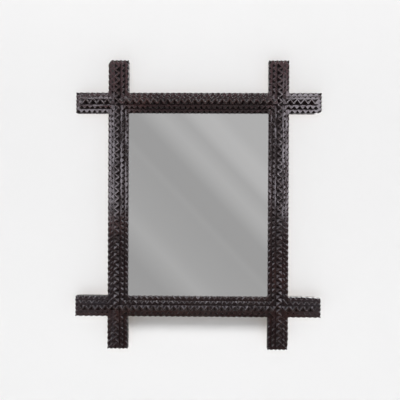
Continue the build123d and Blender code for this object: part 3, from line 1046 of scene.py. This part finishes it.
class FRAME_OT_hanger(bpy.types.Operator):
    """Bend the screw eye and the loose ring that hangs in it"""

    bl_idname = "frame.hanger"
    bl_label = "Hanger"

    def execute(self, context):
        sizes = context.scene.tramp_frame.hanger
        brass = materials()["tarnished_brass"]
        wire, turn = sizes.wire / 2, sizes.wire / 2 + sizes.eye_hole / 2
        low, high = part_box("hanger_ring")
        centre = Vector((0.0, (low.y + high.y) / 2, 0.0))
        profile = eye_profile(centre.y - turn, wire, sizes.shank / 2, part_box("hanger_eye")[0].y)
        start = Matrix.Rotation(math.radians(EYE_START), 3, "X") @ Vector((0, -1, 0))
        loop = bent_wire(centre, turn, wire, (-1, 0, 0), start, math.radians(EYE_TURN))
        bm = cut_away(turned(profile), [loop], "UNION")
        piece("hanger_eye_turned", bm, brass, "frame", "old_brass", "hanger_eye")
        hang = Vector((0.0, centre.y, (low.z + high.z) / 2))
        bend = (high.z - low.z) / 2 - sizes.wire / 2
        bm = bent_wire(hang, bend, wire, (0, 1, 0), RING_SEAM, math.radians(RING_TURN), 72)
        rub_arrises(bm, 0.12 * MM, angle=math.radians(40.0))
        piece("hanger_ring_bent", bm, brass, "ring", "old_brass", "hanger_ring")
        return {"FINISHED"}


def backdrop_paint(name, colour):
    """Matt paint with the faintest cloudiness."""
    p = Paint(name)
    cloud = p.noise(p.here(), scale=30.0, detail=3.0)
    return p, p.mixed(cloud * 0.04, tint(colour), tint(colour, 0.9))


def floor_paint(colour):
    """Matt near the frame. Far off it only looks as pale as the room round it, and lights nothing."""
    p, plain = backdrop_paint("stage_floor", colour)
    away = p.length(p.here()).step(1.6, 3.2)
    matt = p.add("ShaderNodeBsdfDiffuse", None, {"Color": plain})
    p.finish(p.blended(p.looked_at() * away, matt, p.glowing(plain, 1.0)))
    return p.material


def wall_paint(colour):
    """Matt from the front and paler below. It is clear from behind, to show the back of the frame."""
    p, plain = backdrop_paint("stage_wall", colour)
    paler = tuple(min(0.97, level) for level in tint(colour, 1.14))
    plain = p.mixed((0.0 - p.along("Z")).step(-0.10, 0.60), plain, paler)
    matt = p.add("ShaderNodeBsdfDiffuse", None, {"Color": plain})
    behind = p.add("ShaderNodeNewGeometry", out="Backfacing")
    p.finish(p.blended(behind, matt, p.add("ShaderNodeBsdfTransparent")))
    return p.material


def card_paint():
    """The dark side of the room, with the pale slanting bands that the mirror shows.

    The rim fades to the level of the room, so that the card has no edge in the glass.
    """
    p = Paint("stage_card")
    x, z = p.along("X"), p.along("Z")
    down = 0.0 - z
    first, across, upward = CARD_SLANT
    slant = first - across * x - upward * z
    bands = p.add("ShaderNodeValToRGB", {"stops": CARD_BANDS}, {0: slant})
    left, right, below, above = CARD_SHOWN
    inside = x.step(*left) * (0.0 - x).step(*right) * z.step(*below) * down.step(*above)
    room = p.mixed(z.step(0.30, 0.42), CARD_DARK, CARD_WARM)
    room = p.mixed((x * x).step(0.17, 0.25) * down.step(0.50, 0.62), room, CARD_LOW)
    shown = p.mixed(inside, room, bands)
    share = 1.0 / CARD_RIM
    outward = p.stretched(p.here(), (share, 0.0, share), (0.0, 0.0, CARD_RIM_DROP / CARD_RIM))
    shown = p.mixed(p.length(outward).step(0.55, 0.98), shown, (ROOM_SEEN,) * 3)
    p.finish(p.glowing(shown, 1.0))
    return p.material


def glow_paint(name, glow):
    """A bright card, only seen in reflections."""
    p = Paint(name)
    p.finish(p.glowing(GLOW_TINT, glow))
    return p.material


def plane(name, half, matrix, paint):
    """A flat stage piece, square until the matrix stretches it."""
    bm = bmesh.new()
    bmesh.ops.create_grid(bm, x_segments=1, y_segments=1, size=half, matrix=matrix)
    made = scratch_object(name, bm)
    made.data.materials.append(paint)
    return made


def stage_cards(facing):
    """The dark card before the frame, and the bright ones that its varnish reflects."""
    middle = (CAD_BOX[0].z + CAD_BOX[1].z) / 2
    cards = [plane("stage_card", CARD_HALF, Matrix.Translation((0, CARD_Y, middle)) @ facing, card_paint())]
    x, y, z = SIDE_CARD_PLACE
    for side in (-1, 1):
        where = Matrix.Translation((side * x, y, z)) @ Matrix.Rotation(-side * math.pi / 2, 4, "Y")
        paint = glow_paint("stage_side_card", SIDE_CARD_GLOW)
        cards.append(plane("stage_side_card", SIDE_CARD_HALF, where, paint))
    for (x, z), (half_width, half_height), glow in GLOSS_CARDS:
        size = Matrix.Diagonal((half_width, 1.0, half_height, 1.0))
        where = Matrix.Translation((x, GLOSS_CARD_Y, z)) @ size @ facing
        cards.append(plane("stage_gloss_card", 1.0, where, glow_paint("stage_gloss_card", glow)))
    return cards


def area_lamp(name, spot, aim, size, power, colour):
    """A soft lamp that the camera doesn't see."""
    data = bpy.data.lights.new(name, "AREA")
    data.shape = "RECTANGLE"
    data.size, data.size_y = size
    data.energy = power
    data.color = colour
    lamp = bpy.data.objects.new(name, data)
    lamp.location = spot
    lamp.rotation_euler = (Vector(aim) - Vector(spot)).to_track_quat("-Z", "Y").to_euler()
    lamp.visible_camera = False
    bpy.context.scene.collection.objects.link(lamp)


def stage_world():
    """A white room that looks brighter than it lights."""
    world = bpy.data.worlds.new("stage_world")
    p = Paint("stage_world", world)
    strength = p.looked_at() * (ROOM_SEEN - ROOM_LIGHT) + ROOM_LIGHT
    p.finish(p.add("ShaderNodeBackground", None, {"Strength": strength}), "ShaderNodeOutputWorld")
    return world


def stage_camera(stage):
    """The camera at the photo's angle."""
    data = bpy.data.cameras.new("camera")
    data.lens = stage.lens
    data.sensor_width = 36.0
    camera = bpy.data.objects.new("camera", data)
    camera.location = (CAMERA_X, -stage.camera_distance, CAMERA_Z)
    pan = Matrix.Rotation(math.radians(CAMERA_PAN), 4, "Z")
    tilt = Matrix.Rotation(math.radians(CAMERA_TILT), 4, "X")
    roll = Matrix.Rotation(math.radians(CAMERA_ROLL), 4, "Z")
    camera.rotation_euler = (pan @ tilt @ roll).to_euler()
    bpy.context.scene.collection.objects.link(camera)
    return camera


class FRAME_OT_stage(bpy.types.Operator):
    """Set up the wall, the floor, the lights and the camera"""

    bl_idname = "frame.stage"
    bl_label = "Stage"

    def execute(self, context):
        scene = context.scene
        stage = scene.tramp_frame.stage
        floor_z = CAD_BOX[0].z - stage.floor_drop
        upright = Matrix.Rotation(math.pi / 2, 4, "X")
        plane("stage_floor", FLOOR_HALF, Matrix.Translation((0, 0, floor_z)), floor_paint(stage.wall_colour))
        where = Matrix.Translation((0, stage.wall_gap, floor_z + WALL_HALF)) @ upright
        wall = plane("stage_wall", WALL_HALF, where, wall_paint(stage.wall_colour))
        cards = stage_cards(upright.inverted())
        for part in (wall, *cards):
            part.visible_diffuse = False
            part.visible_transmission = False
            part.visible_shadow = False
        wall.visible_glossy = False
        for card in cards:
            card.visible_camera = False

        for lamp in LAMPS:
            area_lamp(*lamp)
        shading = bpy.data.collections.new("shade_light_above")
        shading.objects.link(bpy.data.objects["bottom_rail_middle_carved"])
        bpy.data.objects["light_above"].light_linking.blocker_collection = shading

        scene.world = stage_world()
        scene.view_settings.view_transform = "Standard"
        scene.camera = stage_camera(stage)
        return {"FINISHED"}


class FRAME_PT_panel(bpy.types.Panel):
    """Lists the settings and the steps of the frame"""

    bl_idname = "FRAME_PT_panel"
    bl_label = "Tramp Art Frame"
    bl_space_type = "VIEW_3D"
    bl_region_type = "UI"
    bl_category = "Frame"

    def draw(self, context):
        settings = context.scene.tramp_frame
        for group in (settings.carving, settings.hanger, settings.colours, settings.stage):
            box = self.layout.box()
            for name in group.bl_rna.properties.keys():
                if name not in ("rna_type", "name"):
                    box.prop(group, name)
        for operator in OPERATORS:
            self.layout.operator(operator.bl_idname)


OPERATORS = (
    FRAME_OT_base_boards,
    FRAME_OT_middle_strips,
    FRAME_OT_ridge_strips,
    FRAME_OT_mirror,
    FRAME_OT_fastenings,
    FRAME_OT_hanger,
    FRAME_OT_stage,
)
SETTINGS = (CarvingSizes, HangerSizes, FinishColours, StageSettings, FrameSettings)
CLASSES = (*SETTINGS, *OPERATORS, FRAME_PT_panel)


def register():
    """Adds the classes and the scene's settings."""
    for made in CLASSES:
        bpy.utils.register_class(made)
    bpy.types.Scene.tramp_frame = PointerProperty(type=FrameSettings)


def unregister():
    """Takes the classes and the scene's settings away."""
    del bpy.types.Scene.tramp_frame
    for made in reversed(CLASSES):
        bpy.utils.unregister_class(made)


def main():
    """Builds the frame piece by piece."""
    register()
    bpy.ops.frame.base_boards()
    bpy.ops.frame.middle_strips()
    bpy.ops.frame.ridge_strips()
    bpy.ops.frame.mirror()
    bpy.ops.frame.fastenings()
    bpy.ops.frame.hanger()
    bpy.ops.frame.stage()


if __name__ == "__main__":
    main()
